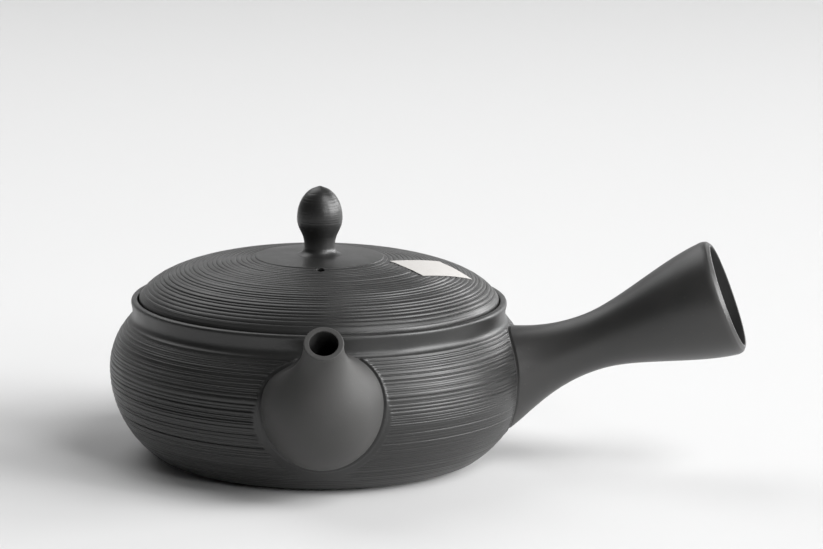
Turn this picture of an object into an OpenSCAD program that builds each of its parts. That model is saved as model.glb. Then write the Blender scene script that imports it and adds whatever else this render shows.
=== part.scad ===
// Side-handled teapot of unglazed black stoneware: a low round pot with comb-turned grooves,
// a tube spout with a strainer behind it, a hollow handle and a lift-off lid with a turned knob.
// Frame: the origin is the middle of the base on the table, +Z is up, the spout points along -Y.

/* [Body] */
// Outer diameter at the widest part of the belly
belly_d = 125; // [116:0.5:140]
// Height of the widest part above the table
belly_h = 27; // [24:0.5:31]
// Diameter at which the belly's curve reaches the table
base_d = 92.6; // [80:0.2:104]
// Rounding of the edge between the base and the belly
base_round = 2; // [1:0.1:3]
// Height of the rim's top above the table
rim_h = 48; // [44:0.5:56]
// Height of the hollowed collar and rim above the shoulder
collar_h = 6.6; // [5.6:0.1:9]
// Step from the shoulder's upper edge in to the rim
collar_step = 0.9; // [0.4:0.1:2]
// Depth to which the collar is hollowed below the rim's outer face
collar_hollow = 0.6; // [0.2:0.1:1]
// Thickness of the thrown wall
wall = 3; // [2.4:0.1:4]
// Thickness of the floor
floor_t = 3.2; // [2.4:0.1:5]

/* [Lid seat] */
// Diameter of the lid's edge
lid_d = 107.3; // [100:0.1:112]
// Gap all round between the lid's edge and the rim
lid_gap = 0.3; // [0.2:0.05:0.8]
// Thickness of the rim outside the lid
rim_t = 2.05; // [1.6:0.05:3]
// Depth of the ledge below the rim's top
ledge_depth = 2.6; // [2:0.1:4]
// Width of the ledge that carries the lid
ledge_w = 5.4; // [4:0.1:8]
// Thickness of the ledge at its inner edge
ledge_t = 3; // [2:0.1:4]

/* [Lid] */
// Height of the lid's upright edge above the ledge
lid_edge_h = 2.7; // [2:0.1:4]
// Rise of the dome above its upright edge
lid_rise = 12.7; // [8:0.1:18]
// Squareness of the dome's curve, where 2 is an ellipse
lid_fullness = 2.4; // [2:0.1:3]
// Overhang by which the dome's curve would run past the edge
lid_overrun = 0.85; // [0.4:0.05:2]
// Thickness of the dome
lid_t = 3.2; // [2.4:0.1:4]
// Depth of the flange below the ledge
flange_h = 6.5; // [4:0.1:9]
// Thickness of the flange
flange_t = 2.6; // [2:0.1:4]
// Gap all round between the flange and the throat of the pot
flange_gap = 0.4; // [0.3:0.05:0.8]
// Diameter of the smooth disc round the knob
disc_d = 38.6; // [30:0.2:50]
// Height of the disc above the dome
disc_rise = 0.3; // [0.1:0.05:0.8]
// Diameter of the steam hole beside the disc's edge
vent_d = 2.4; // [1.2:0.1:3]
// Angle by which the steam hole leans out from upright
vent_lean = 40; // [0:1:45]

/* [Knob] */
// Diameter of the knob's bud
knob_d = 13.6; // [10:0.1:18]
// Height of the knob above the lid
knob_h = 20.6; // [15:0.1:28]
// Height of the bud's widest part above the lid
knob_wide_at = 11; // [8:0.1:14]
// Diameter of the neck below the bud
knob_neck_d = 9.1; // [7:0.1:10]
// Height of the neck's narrowest part above the lid
knob_neck_at = 2.4; // [1.6:0.1:4]
// Diameter of the flared foot
knob_foot_d = 14.8; // [12:0.1:20]

/* [Spout] */
// Outer diameter of the mouth
mouth_d = 11.2; // [9.6:0.1:14]
// Bore at the mouth
bore_d = 8.2; // [6:0.1:8.6]
// Distance of the middle of the mouth beyond the belly
spout_reach = 13.5; // [11:0.5:18]
// Height of the middle of the mouth above the rim
spout_over_rim = 2.2; // [0:0.1:6]
// Slope of the spout's axis above level
spout_slope = 51; // [46:1:56]
// Diameter of the spout's swollen root
root_d = 35; // [32:0.2:40]
// Length of the spout from its mouth to the root's widest part
root_at = 27; // [25:0.5:30]
// Length of the root's round end beyond its widest part
root_end = 20.5; // [18:0.5:24]
// Thickness of the spout's wall
spout_wall = 2.2; // [1.8:0.1:3]

/* [Strainer] */
// Height from the middle of the spout's mouth down to the middle of the strainer
strainer_drop = 23.2; // [21:0.1:25]
// Outer diameter of the strainer's dome
strainer_d = 25; // [22:0.2:28]
// Thickness of the strainer's dome
strainer_t = 1.6; // [1.2:0.1:2.4]
// Width of the seat on the wall round the pour hole
strainer_seat = 1; // [0.5:0.1:2]
// Diameter of each strainer hole
pore_d = 1.5; // [1:0.1:1.8]
// Distance between neighbouring strainer holes
pore_pitch = 3.1; // [2.8:0.1:4]

/* [Handle] */
// Angle from the spout round to the handle
handle_turn = 80.3; // [70:0.5:110]
// Slope of the handle's axis above level
handle_slope = 21.2; // [12:0.2:26]
// Height at which that axis leaves the belly, above the widest part
handle_rise = 3; // [0:0.2:5]
// Length of the handle from the belly to its open end
handle_l = 63.4; // [50:0.5:80]
// Distance of the waist from the belly
waist_at = 20; // [16:0.5:24]
// Diameter of the waist
waist_d = 17; // [14:0.2:20]
// Diameter of the handle's root
handle_root_d = 34; // [30:0.2:36]
// Diameter of the open end
end_d = 35.1; // [30:0.1:40]
// Thickness of the handle's wall
handle_wall = 2.4; // [2:0.1:3]
// Thickness of the lip at the open end
lip_t = 2.2; // [1.6:0.1:3]

/* [Comb grooves] */
// Distance between grooves on the body
body_pitch = 2; // [1.6:0.1:3]
// Distance between grooves on the lid
lid_pitch = 1.45; // [1.2:0.05:2]
// Width of a groove
groove_w = 0.8; // [0.5:0.05:1]
// Depth of a groove
groove_t = 0.3; // [0.15:0.05:0.5]
// Height above the table of the lowest groove
groove_low = 12; // [10:0.5:20]
// Smooth margin left round the spout and the handle
wiped = 1.6; // [1:0.1:3]

/* [Label] */
// Longer side of the paper label
label_l = 19; // [14:0.5:24]
// Shorter side of the label
label_w = 15.5; // [12:0.5:20]
// Thickness of the paper
label_t = 0.2; // [0.1:0.05:0.4]
// Thickness of the paste under it
paste_t = 0.05; // [0.02:0.01:0.1]
// Gap between the disc's edge and the label's nearest corner
label_gap = 2.1; // [0.2:0.1:4]
// Angle round the pot at which that corner lies
label_turn = -15; // [-60:0.1:60]
// Angle by which the label is twisted
label_twist = 37; // [0:1:90]

/* [Hidden] */
$fn = 96;

// Steps along a short, a usual and a long curve of a profile
few = 6;
steps = 10;
many = 14;
// Length by which a cutting shape runs past what it cuts
past = 1;
// Turn of a round cutter about its own axis, so that its joint line misses the belly's widest circle
cutter_turn = 25;
// Length over which a curve's lean is measured
near = 0.1;

// Pull points of the profiles' curves, as shares of the radius and of the length that they span
collar_pull = [0.13, 0.4];
spout_pull = [[0.85, 0.575], [0.97, 0.575]];
root_pull = [[0.9, 0.24], [0.96, 0.52]];
flare_pull = [[1, 0.28], [0.98, 0.68]];
bud_pull = [0.52, 0.57];

// Shares of the collar's height and of the rim's thickness that the rim's rounding takes
bead_share = 0.2;
bead_pull = 0.06;
crown_share = 0.55;
crown_pull = 0.2;
inner_share = 0.4;
inner_pull = 0.1;

// Radii of the pot
belly_r = belly_d / 2;
base_r = base_d / 2;
lid_r = lid_d / 2;
rim_in = lid_r + lid_gap;
rim_r = rim_in + rim_t;
throat_r = rim_in - ledge_w;
shoulder_r = rim_r + collar_step;
inner_r = belly_r - wall;
crown_r = rim_r - rim_t * crown_share;

// Heights of the pot
shoulder_h = rim_h - collar_h;
ledge_h = rim_h - ledge_depth;
throat_h = ledge_h - ledge_t;
bead_h = rim_h - collar_h * bead_share;

// Sweeps of the belly's two curves from its widest part
low_sweep = 62;
up_sweep = 42;
low_out = (belly_r - base_r) / (1 - cos(low_sweep));
low_down = belly_h / sin(low_sweep);
up_out = (belly_r - shoulder_r) / (1 - cos(up_sweep));
up_high = (shoulder_h - belly_h) / sin(up_sweep);

// Inside of the pot: the floor's edge lies a little within the base's edge
floor_inset = 0.8;
floor_r = base_r - floor_inset;
in_out = (inner_r - floor_r) / (1 - cos(low_sweep));
in_down = (belly_h - floor_t) / sin(low_sweep);

// Lid: the steam hole's middle lies a share of its diameter outside the disc's edge
edge_h = ledge_h + lid_edge_h;
dome_a = lid_r + lid_overrun;
dome_end = pow(1 - pow(lid_r / dome_a, lid_fullness), 1 / lid_fullness);
disc_r = disc_d / 2;
vent_share = 0.4;
vent_at = disc_r + vent_d * vent_share;
flange_r = throat_r - flange_gap;
flange_in = flange_r - flange_t;
flange_low = ledge_h - flange_h;
flange_bevel = 0.8;
edge_bevel = 0.5;
knob_margin = 0.4;
knob_seat_r = knob_foot_d / 2 + knob_margin;
knob_seat_h = dome_h(knob_seat_r) + disc_rise;

// Spout
spout_tip = [0, -belly_r - spout_reach, rim_h + spout_over_rim];
strainer_h = spout_tip[2] - strainer_drop;
strainer_r = strainer_d / 2;
strainer_at = [0, -in_r(strainer_h), strainer_h];
pour_hole_r = strainer_r - strainer_t - strainer_seat;
pore_spread = 64;
bulb_straight = 1;

// Handle: lengths along its axis run from the point where it crosses the pot's axis
handle_az = handle_turn - 90;
handle_start = belly_r / cos(handle_slope);
handle_foot_h = belly_h + handle_rise - belly_r * tan(handle_slope);
handle_end = handle_start + handle_l;
handle_waist = handle_start + waist_at;
flare_depth = 13;
root_straight_l = 7;
handle_root = handle_start - flare_depth;
handle_in = handle_root - root_straight_l;

// Unevenness of the combing: spread of the distances, share of the depth that comes and goes,
// and the turns by which both change from one groove to the next
comb_spread = 0.25;
comb_fade = 0.2;
spread_turn = 110;
fade_turn = 70;

// A point of a cubic curve
function bezier(a, b, c, d, u) =
    pow(1 - u, 3) * a + 3 * u * pow(1 - u, 2) * b + 3 * u * u * (1 - u) * c + pow(u, 3) * d;

// Points of a cubic curve, without its first point
function curve(a, b, c, d, n = steps) = [for (i = [1:n]) bezier(a, b, c, d, i / n)];

// Points of an elliptic arc about a middle, from angle a to angle b
function arc(middle, rx, ry, a, b, n = steps) =
    [for (i = [0:n]) let (t = a + (b - a) * i / n) middle + [rx * cos(t), ry * sin(t)]];

// Outer radius of the belly at a height
function out_r(h) =
    h < belly_h
        ? belly_r - low_out * (1 - cos(asin((belly_h - h) / low_down)))
        : belly_r - up_out * (1 - cos(asin((h - belly_h) / up_high)));

// Inner radius of the belly at a height below the ledge
function in_r(h) =
    h < belly_h
        ? inner_r - in_out * (1 - cos(asin((belly_h - h) / in_down)))
        : throat_r + (inner_r - throat_r) * cos(asin((h - belly_h) / (throat_h - belly_h)));

// Height of the lid's dome at a radius
function dome_h(r) =
    edge_h + lid_rise
        * (pow(1 - pow(r / dome_a, lid_fullness), 1 / lid_fullness) - dome_end) / (1 - dome_end);

// Radius on the dome at a share of the way from the disc to the edge, closer spaced at the edge
function dome_r(u) =
    let (
        first = asin(pow(disc_r / dome_a, lid_fullness / 2)),
        last = asin(pow(lid_r / dome_a, lid_fullness / 2))
    )
    dome_a * pow(sin(first + (last - first) * u), 2 / lid_fullness);

// Outer profile of the pot from the middle of the base to the top of the rim
function pot_outside() =
    let (
        curve_top = arc([belly_r - up_out, belly_h], up_out, up_high, 0, up_sweep),
        first_h = base_round,
        first_turn = asin((belly_h - first_h) / low_down),
        curve_low = arc([belly_r - low_out, belly_h], low_out, low_down, -first_turn, 0),
        hollow = rim_r - collar_hollow
    )
    concat(
        [[0, 0], [base_r - base_round, 0]],
        curve(
            [base_r - base_round, 0], [base_r - base_round / 3, 0],
            [base_r, 0], [out_r(first_h), first_h], few
        ),
        [for (i = [1:len(curve_low) - 2]) curve_low[i]],
        curve_top,
        curve(
            [shoulder_r, shoulder_h], [hollow, shoulder_h + collar_h * collar_pull[0]],
            [hollow, shoulder_h + collar_h * collar_pull[1]], [rim_r, bead_h], few
        ),
        curve(
            [rim_r, bead_h], [rim_r + rim_t * bead_pull, rim_h - collar_h * bead_pull],
            [rim_r - rim_t * crown_pull, rim_h], [crown_r, rim_h], few
        )
    );

// Inner profile of the pot from the top of the rim to the middle of the floor
function pot_inside() =
    concat(
        curve(
            [crown_r, rim_h], [rim_in + rim_t * crown_pull, rim_h],
            [rim_in, rim_h - rim_t * inner_pull], [rim_in, rim_h - rim_t * inner_share], few
        ),
        [[rim_in, ledge_h], [throat_r, ledge_h]],
        arc([throat_r, belly_h], inner_r - throat_r, throat_h - belly_h, 90, 0),
        [for (p = arc([inner_r - in_out, belly_h], in_out, in_down, 0, -low_sweep)) if (p[1] < belly_h) p],
        [[0, floor_t]]
    );

// The whole space inside the pot's outer face, which the spout and the handle are fitted to
module pot_solid() {
    rotate_extrude() polygon(concat(pot_outside(), [[0, rim_h]]));
}

// The hollow inside the pot, below its ledge
module pot_hollow() {
    inside = [for (p = pot_inside()) if (p[1] <= throat_h) p];
    rotate_extrude() polygon(concat(inside, [[0, throat_h]]));
}

// Heights of the body's grooves from a height downwards, unevenly combed
function body_grooves(h, i = 0) =
    h < groove_low
        ? []
        : let (
            lean = (out_r(h) - out_r(h - near)) / near,
            stride = body_pitch * (1 + comb_spread * sin(i * spread_turn)) / norm([1, lean])
        )
        concat([h], body_grooves(h - stride, i + 1));

// Radii of the lid's grooves from a radius outwards, unevenly combed
function lid_grooves(r, i = 0) =
    r > lid_r - lid_pitch / 2
        ? []
        : let (
            lean = (dome_h(r + near) - dome_h(r)) / near,
            stride = lid_pitch * (1 + comb_spread * sin(i * spread_turn)) / norm([1, lean])
        )
        concat([r], lid_grooves(r + stride, i + 1));

// Depth of a groove by its number, unevenly combed
function groove_depth(i) = groove_t * (1 - comb_fade + comb_fade * sin(i * fade_turn));

// Cross section of one groove, at a point on a face and square to it
module groove_cut(at, square, deep) {
    side = [-square[1], square[0]] * groove_w / 2;
    out = square * groove_t;
    polygon([at + 2 * side + out, at - 2 * side + out, at - square * deep]);
}

// Grooves of the body, which stop short of the spout and the handle
module body_groove_cuts() {
    heights = body_grooves(shoulder_h - body_pitch / 2);
    difference() {
        rotate_extrude()
            for (i = [0:len(heights) - 1]) {
                h = heights[i];
                lean = (out_r(h + near / 2) - out_r(h - near / 2)) / near;
                groove_cut([out_r(h), h], [1, -lean] / norm([1, lean]), groove_depth(i));
            }
        translate([0, 0, strainer_h])
            rotate([90, 0, 0])
                cylinder(d = root_d + 2 * wiped, h = belly_d);
        rotate([0, 0, handle_az])
            translate([0, 0, belly_h])
                rotate([0, 90, 0])
                    cylinder(d = handle_root_d + 2 * wiped, h = belly_d);
    }
}

module body() {
    color("#3b3b3a")
        difference() {
            rotate_extrude() polygon(concat(pot_outside(), pot_inside()));
            body_groove_cuts();
            translate([0, strainer_at[1] + strainer_r, strainer_h])
                rotate([90, cutter_turn, 0])
                    cylinder(r = pour_hole_r, h = strainer_r + 2 * wall + past);
        }
}

// Half outline of the spout about its axis, from its mouth at 0 to its closed root
function spout_outline(mouth_r, root_r, end) =
    concat(
        [[0, 0], [mouth_r, 0]],
        curve(
            [mouth_r, 0], [mouth_r * spout_pull[0][0], root_at * spout_pull[0][1]],
            [root_r * spout_pull[1][0], root_at * spout_pull[1][1]], [root_r, root_at], many
        ),
        arc([0, root_at + bulb_straight], root_r, end, 0, 90)
    );

module spout() {
    color("#414140")
        difference() {
            translate(spout_tip)
                rotate([-90 - spout_slope, 0, 0])
                    difference() {
                        rotate_extrude() polygon(spout_outline(mouth_d / 2, root_d / 2, root_end));
                        rotate_extrude()
                            polygon(spout_outline(
                                bore_d / 2, root_d / 2 - spout_wall, root_end - spout_wall
                            ));
                    }
            pot_solid();
        }
}

// Holes of the strainer in rings about its middle
module pores() {
    ring_turn = pore_pitch / strainer_r * 180 / PI;
    rings = floor(pore_spread / ring_turn);
    for (ring = [0:rings]) {
        lean = ring * ring_turn;
        count = max(1, floor(2 * PI * strainer_r * sin(lean) / pore_pitch));
        for (i = [0:count - 1])
            rotate([0, i * 360 / count, 0])
                rotate([lean, 0, 0])
                    translate([0, strainer_r + past, 0])
                        rotate([90, 0, 0])
                            cylinder(d = pore_d, h = strainer_t + 2 * past);
    }
}

module strainer() {
    color("#353534")
        intersection() {
            translate(strainer_at)
                difference() {
                    sphere(r = strainer_r);
                    sphere(r = strainer_r - strainer_t);
                    pores();
                }
            pot_hollow();
        }
}

// Half outline of the handle about its axis, from inside the pot to its open end
function handle_outline(root_r, waist_r, end_r, end) =
    let (
        inner_l = handle_waist - handle_root,
        outer_l = end - handle_waist
    )
    concat(
        [[0, handle_in], [root_r, handle_in], [root_r, handle_root]],
        curve(
            [root_r, handle_root],
            [root_r * root_pull[0][0], handle_root + inner_l * root_pull[0][1]],
            [waist_r * root_pull[1][0], handle_root + inner_l * root_pull[1][1]], [waist_r, handle_waist]
        ),
        curve(
            [waist_r, handle_waist],
            [waist_r * flare_pull[0][0], handle_waist + outer_l * flare_pull[0][1]],
            [end_r * flare_pull[1][0], handle_waist + outer_l * flare_pull[1][1]], [end_r, end]
        )
    );

module handle() {
    lip_r = end_d / 2 - lip_t / 2;
    bead = handle_end - lip_t / 2;
    outside = handle_outline(handle_root_d / 2, waist_d / 2, end_d / 2, bead);
    inside = handle_outline(
        handle_root_d / 2 - handle_wall, waist_d / 2 - handle_wall, end_d / 2 - lip_t, bead
    );
    color("#4a4a49")
        difference() {
            rotate([0, 0, handle_az])
                translate([0, 0, handle_foot_h])
                    rotate([0, 90 - handle_slope, 0])
                        rotate_extrude() {
                            difference() {
                                polygon(concat(outside, [[0, bead]]));
                                polygon(concat(inside, [[0, bead]]));
                            }
                            translate([lip_r, bead]) circle(d = lip_t);
                        }
            pot_solid();
        }
}

module lid() {
    grooves = lid_grooves(disc_r + lid_pitch);
    dome = [for (i = [0:3 * steps]) let (r = dome_r(i / (3 * steps))) [r, dome_h(r)]];
    disc = [
        for (i = [0:few])
            let (r = knob_seat_r + (disc_r - knob_seat_r) * i / few)
            [r, dome_h(r) + disc_rise]
    ];
    under = [for (i = [0:steps]) let (r = flange_in * (1 - i / steps)) [r, dome_h(r) - lid_t]];
    color("#444443")
        difference() {
            rotate_extrude()
                difference() {
                    polygon(concat(
                        [[0, knob_seat_h]],
                        disc,
                        dome,
                        [[lid_r, ledge_h + edge_bevel], [lid_r - edge_bevel, ledge_h], [flange_r, ledge_h]],
                        [[flange_r, flange_low + flange_bevel], [flange_r - flange_bevel, flange_low]],
                        [[flange_in, flange_low]],
                        under
                    ));
                    for (i = [0:len(grooves) - 1]) {
                        r = grooves[i];
                        lean = (dome_h(r + near / 2) - dome_h(r - near / 2)) / near;
                        groove_cut([r, dome_h(r)], [-lean, 1] / norm([1, lean]), groove_depth(i));
                    }
                }
            translate([0, -vent_at, dome_h(vent_at)])
                rotate([vent_lean, 0, 0])
                    translate([0, 0, -2 * lid_t])
                        cylinder(d = vent_d, h = 2 * lid_t + disc_rise + 2 * past);
        }
}

module knob() {
    foot_r = knob_foot_d / 2;
    neck_r = knob_neck_d / 2;
    bud_r = knob_d / 2;
    swell = knob_wide_at - knob_neck_at;
    color("#2b2b2b")
        translate([0, 0, knob_seat_h])
            rotate_extrude()
                polygon(concat(
                    [[0, 0]],
                    arc([foot_r, knob_neck_at], foot_r - neck_r, knob_neck_at, 270, 180, few),
                    curve(
                        [neck_r, knob_neck_at], [neck_r, knob_neck_at + swell * bud_pull[0]],
                        [bud_r, knob_neck_at + swell * bud_pull[1]], [bud_r, knob_wide_at]
                    ),
                    [for (p = arc([0, knob_wide_at], bud_r, knob_h - knob_wide_at, 0, 90, many))
                        if (p[1] > knob_wide_at) p]
                ));
}

module label() {
    first = disc_r + label_gap / 2;
    radii = [for (i = [0:2 * steps]) first + (lid_r - first) * i / (2 * steps)];
    under = [for (r = radii) [r, dome_h(r) + paste_t]];
    over = [for (i = [len(radii) - 1:-1:0]) [radii[i], dome_h(radii[i]) + paste_t + label_t]];
    color("#d6cfc4")
        intersection() {
            rotate_extrude() polygon(concat(under, over));
            rotate([0, 0, label_turn])
                translate([disc_r + label_gap, 0, ledge_h])
                    rotate([0, 0, label_twist - label_turn])
                        translate([0, -label_w, 0])
                            cube([label_l, label_w, lid_edge_h + lid_rise + past]);
        }
}

body();
spout();
strainer();
handle();
lid();
knob();
label();
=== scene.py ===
import math

import bpy
import numpy as np
from mathutils import Matrix, Vector


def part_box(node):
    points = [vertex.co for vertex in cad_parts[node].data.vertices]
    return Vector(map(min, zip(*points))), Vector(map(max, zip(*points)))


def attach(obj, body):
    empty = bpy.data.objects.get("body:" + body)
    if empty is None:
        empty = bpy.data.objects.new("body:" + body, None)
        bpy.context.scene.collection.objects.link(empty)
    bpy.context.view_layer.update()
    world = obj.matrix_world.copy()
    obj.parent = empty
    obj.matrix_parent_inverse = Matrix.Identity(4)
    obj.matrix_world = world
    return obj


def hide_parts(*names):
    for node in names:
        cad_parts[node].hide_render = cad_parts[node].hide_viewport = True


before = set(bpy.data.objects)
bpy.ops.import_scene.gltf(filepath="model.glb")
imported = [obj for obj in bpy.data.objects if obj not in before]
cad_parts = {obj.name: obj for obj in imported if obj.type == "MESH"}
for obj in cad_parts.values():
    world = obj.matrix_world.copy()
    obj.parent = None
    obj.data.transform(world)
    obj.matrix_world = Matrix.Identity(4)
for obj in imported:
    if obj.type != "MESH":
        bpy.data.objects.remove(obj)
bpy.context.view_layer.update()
mm = 0.001  # sizes below are in millimetres, angles in degrees
dice = np.random.default_rng(7)
print("frame loaded:", len(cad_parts), "nodes")


# Shared shape functions

def bezier(a, b, c, d, count=60):  # points of a cubic curve
    u = np.linspace(0, 1, count)[:, None]
    a, b, c, d = [np.asarray(p, float) for p in (a, b, c, d)]
    return (1 - u) ** 3 * a + 3 * u * (1 - u) ** 2 * b + 3 * u * u * (1 - u) * c + u ** 3 * d


def arc(middle, across, high, start, end, count=60):  # points of an elliptic arc
    turn = np.radians(np.linspace(start, end, count))
    return np.column_stack([middle[0] + across * np.cos(turn), middle[1] + high * np.sin(turn)])


def lengths(points):  # distance of each point along a polyline
    return np.concatenate([[0], np.cumsum(np.linalg.norm(np.diff(points, axis=0), axis=1))])


def spaced(points, step):  # the same line with points about one step apart
    points = np.asarray(points, float)
    far = lengths(points)
    at = np.linspace(0, far[-1], max(2, round(far[-1] / step) + 1))
    return np.column_stack([np.interp(at, far, points[:, k]) for k in (0, 1)])


def joined(*parts):  # lines end to end, each shared point once
    return np.vstack([parts[0]] + [part[1:] for part in parts[1:]])


def outward(profile):  # unit vectors square to a profile
    way = np.gradient(profile, axis=0)
    way /= np.linalg.norm(way, axis=1, keepdims=True)
    return np.column_stack([way[:, 1], -way[:, 0]])


def smooth(low, high, x):  # soft step from 0 to 1
    t = np.clip((x - low) / (high - low), 0, 1)
    return t * t * (3 - 2 * t)


def turned(profile, turns, depth=0):  # a profile swept round the pot's axis, sunk by depth
    square = outward(profile)
    r = profile[:, 0, None] - square[:, 0, None] * depth + 0 * turns
    z = profile[:, 1, None] - square[:, 1, None] * depth + 0 * turns
    return np.stack([r * np.cos(turns), r * np.sin(turns), z], axis=-1)


def meshPiece(name, points, faces):  # a smooth mesh in the scene, from points in metres
    mesh = bpy.data.meshes.new(name)
    mesh.from_pydata(points, [], faces)
    mesh.shade_smooth()
    piece = bpy.data.objects.new(name, mesh)
    bpy.context.scene.collection.objects.link(piece)
    return piece


def gridPiece(name, grid, firstPole=None, lastPole=None, closed=False):  # rows of points as a piece
    rows, cols = grid.shape[:2]
    index = np.arange(rows * cols).reshape(rows, cols)
    if closed:
        index = np.vstack([index, index[:1]])
    beside = np.roll(index, -1, axis=1)
    faces = np.stack([index[:-1], beside[:-1], beside[1:], index[1:]], axis=-1).reshape(-1, 4).tolist()
    points = grid.reshape(-1, 3)
    if firstPole is not None:
        faces += [[len(points), b, a] for a, b in zip(index[0].tolist(), beside[0].tolist())]
        points = np.vstack([points, [firstPole]])
    if lastPole is not None:
        faces += [[len(points), a, b] for a, b in zip(index[-1].tolist(), beside[-1].tolist())]
        points = np.vstack([points, [lastPole]])
    return meshPiece(name, (points * mm).tolist(), faces)


def bored(piece, radius, start, end, sides=64):  # a round hole cut through a piece
    start, end = Vector(start), Vector(end)
    turns = np.linspace(0, 2 * math.pi, sides, endpoint=False)
    ring = np.stack([radius * np.cos(turns), radius * np.sin(turns), 0 * turns], axis=-1)
    far = np.array([0, 0, (end - start).length])
    cutter = gridPiece("cutter", np.stack([ring, ring + far]), (0, 0, 0), far)
    aim = (end - start).to_track_quat("Z", "Y").to_matrix().to_4x4()
    cutter.matrix_world = Matrix.Translation(start * mm) @ aim
    cut = piece.modifiers.new("hole", "BOOLEAN")
    cut.object = cutter
    cut.operation = "DIFFERENCE"
    cut.solver = "EXACT"
    bpy.context.view_layer.update()
    whole = piece.evaluated_get(bpy.context.evaluated_depsgraph_get())
    old = piece.data
    piece.data = bpy.data.meshes.new_from_object(whole)
    piece.modifiers.clear()
    piece.data.name = piece.name
    bpy.data.meshes.remove(old)
    bpy.data.meshes.remove(cutter.data)


def combed(along, turns, comb):  # depth of uneven comb grooves across a turned face
    steep = 1.5  # how suddenly the sides of a cut drop
    depth = 0 * along * turns
    at = comb["first"]
    while at < comb["last"]:
        phases = dice.uniform(0, 2 * math.pi, 4)
        wander = sum(comb["wander"] / k * np.sin(k * turns + phases[k]) for k in (1, 2, 3))
        fade = 1 - comb["fade"] / 2 * (1 + np.sin(turns * dice.integers(1, 4) + phases[0]))
        deep = comb["depth"] * dice.uniform(comb["least"], 1) * fade
        off = np.abs(along - at - wander)
        sharp = (1 - comb["hollow"]) * np.exp(-(off / comb["cut"]) ** steep)
        broad = comb["hollow"] * np.exp(-off / comb["width"])
        depth = depth + deep * (sharp + broad)
        at += comb["pitch"] * dice.uniform(1 - comb["spread"], 1 + comb["spread"])
    return depth


# Shared material functions

def hexColour(code):  # sRGB hex to a linear colour
    parts = [int(code[i:i + 2], 16) / 255 for i in (1, 3, 5)]
    return [p / 12.92 if p <= 0.04045 else ((p + 0.055) / 1.055) ** 2.4 for p in parts] + [1]


def addNode(tree, kind, inputs=None, **settings):  # one shader node with its settings and links
    node = tree.nodes.new("ShaderNode" + kind)
    for name, value in settings.items():
        setattr(node, name, value)
    for name, value in (inputs or {}).items():
        if isinstance(value, bpy.types.NodeSocket):
            tree.links.new(value, node.inputs[name])
        else:
            node.inputs[name].default_value = value
    return node


def newMaterial(name):  # a material with its shader
    material = bpy.data.materials.new(name)
    material.use_nodes = True
    tree = material.node_tree
    tree.nodes.clear()
    shader = addNode(tree, "BsdfPrincipled")
    addNode(tree, "OutputMaterial", {"Surface": shader.outputs[0]})
    return material, tree, shader


def stoneware(name, look):  # unglazed reduction-fired clay: smoky black, satin, faintly grained
    material, tree, shader = newMaterial(name)
    place = addNode(tree, "TexCoord").outputs["Object"]
    cloud = addNode(tree, "TexNoise", {
        "Vector": place, "Scale": 1 / (look["cloud"] * mm), "Detail": look["cloudDetail"]
    })
    grain = addNode(tree, "TexNoise", {
        "Vector": place, "Scale": 1 / (look["grain"] * mm), "Detail": look["grainDetail"]
    })
    tone = addNode(tree, "Mix", {  # sockets 0, 6 and 7 of a colour mix are its share and both colours
        0: cloud.outputs["Fac"], 6: hexColour(look["dark"]), 7: hexColour(look["light"])
    }, data_type="RGBA")
    cell = addNode(tree, "TexVoronoi", {"Vector": place, "Scale": 1 / (look["speckPitch"] * mm)})
    speck = addNode(tree, "MapRange", {
        "Value": cell.outputs["Distance"], "From Min": look["speckSize"], "From Max": 0,
        "To Min": 0, "To Max": look["speckShare"]
    })
    flecked = addNode(tree, "Mix", {
        0: speck.outputs[0], 6: tone.outputs[2], 7: hexColour(look["speck"])
    }, data_type="RGBA")
    tree.links.new(flecked.outputs[2], shader.inputs["Base Color"])
    satin = addNode(tree, "MapRange", {
        "Value": cloud.outputs["Fac"], "From Min": look["cloudFrom"], "From Max": look["cloudTo"],
        "To Min": look["rough"] - look["roughSpread"], "To Max": look["rough"] + look["roughSpread"]
    })
    tree.links.new(satin.outputs[0], shader.inputs["Roughness"])
    bump = addNode(tree, "Bump", {
        "Height": grain.outputs["Fac"], "Strength": look["bump"], "Distance": look["grainDepth"] * mm
    })
    tree.links.new(bump.outputs[0], shader.inputs["Normal"])
    shader.inputs["IOR"].default_value = look["ior"]
    return material


clay = {
    "dark": "#1e1e1e", "light": "#272726",
    "cloud": 9.0, "cloudDetail": 4, "cloudFrom": 0.3, "cloudTo": 0.7,
    "grain": 0.4, "grainDetail": 3, "grainDepth": 0.05, "bump": 0.5,  # drawn coarser than real, to show
    "speck": "#6d6a64", "speckPitch": 2.6, "speckSize": 0.1, "speckShare": 0.25,
    "rough": 0.38, "roughSpread": 0.04, "ior": 1.57,
}


# Sizes of the pot: those of its solids, the slit under its edge and the spacing of its points

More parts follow.
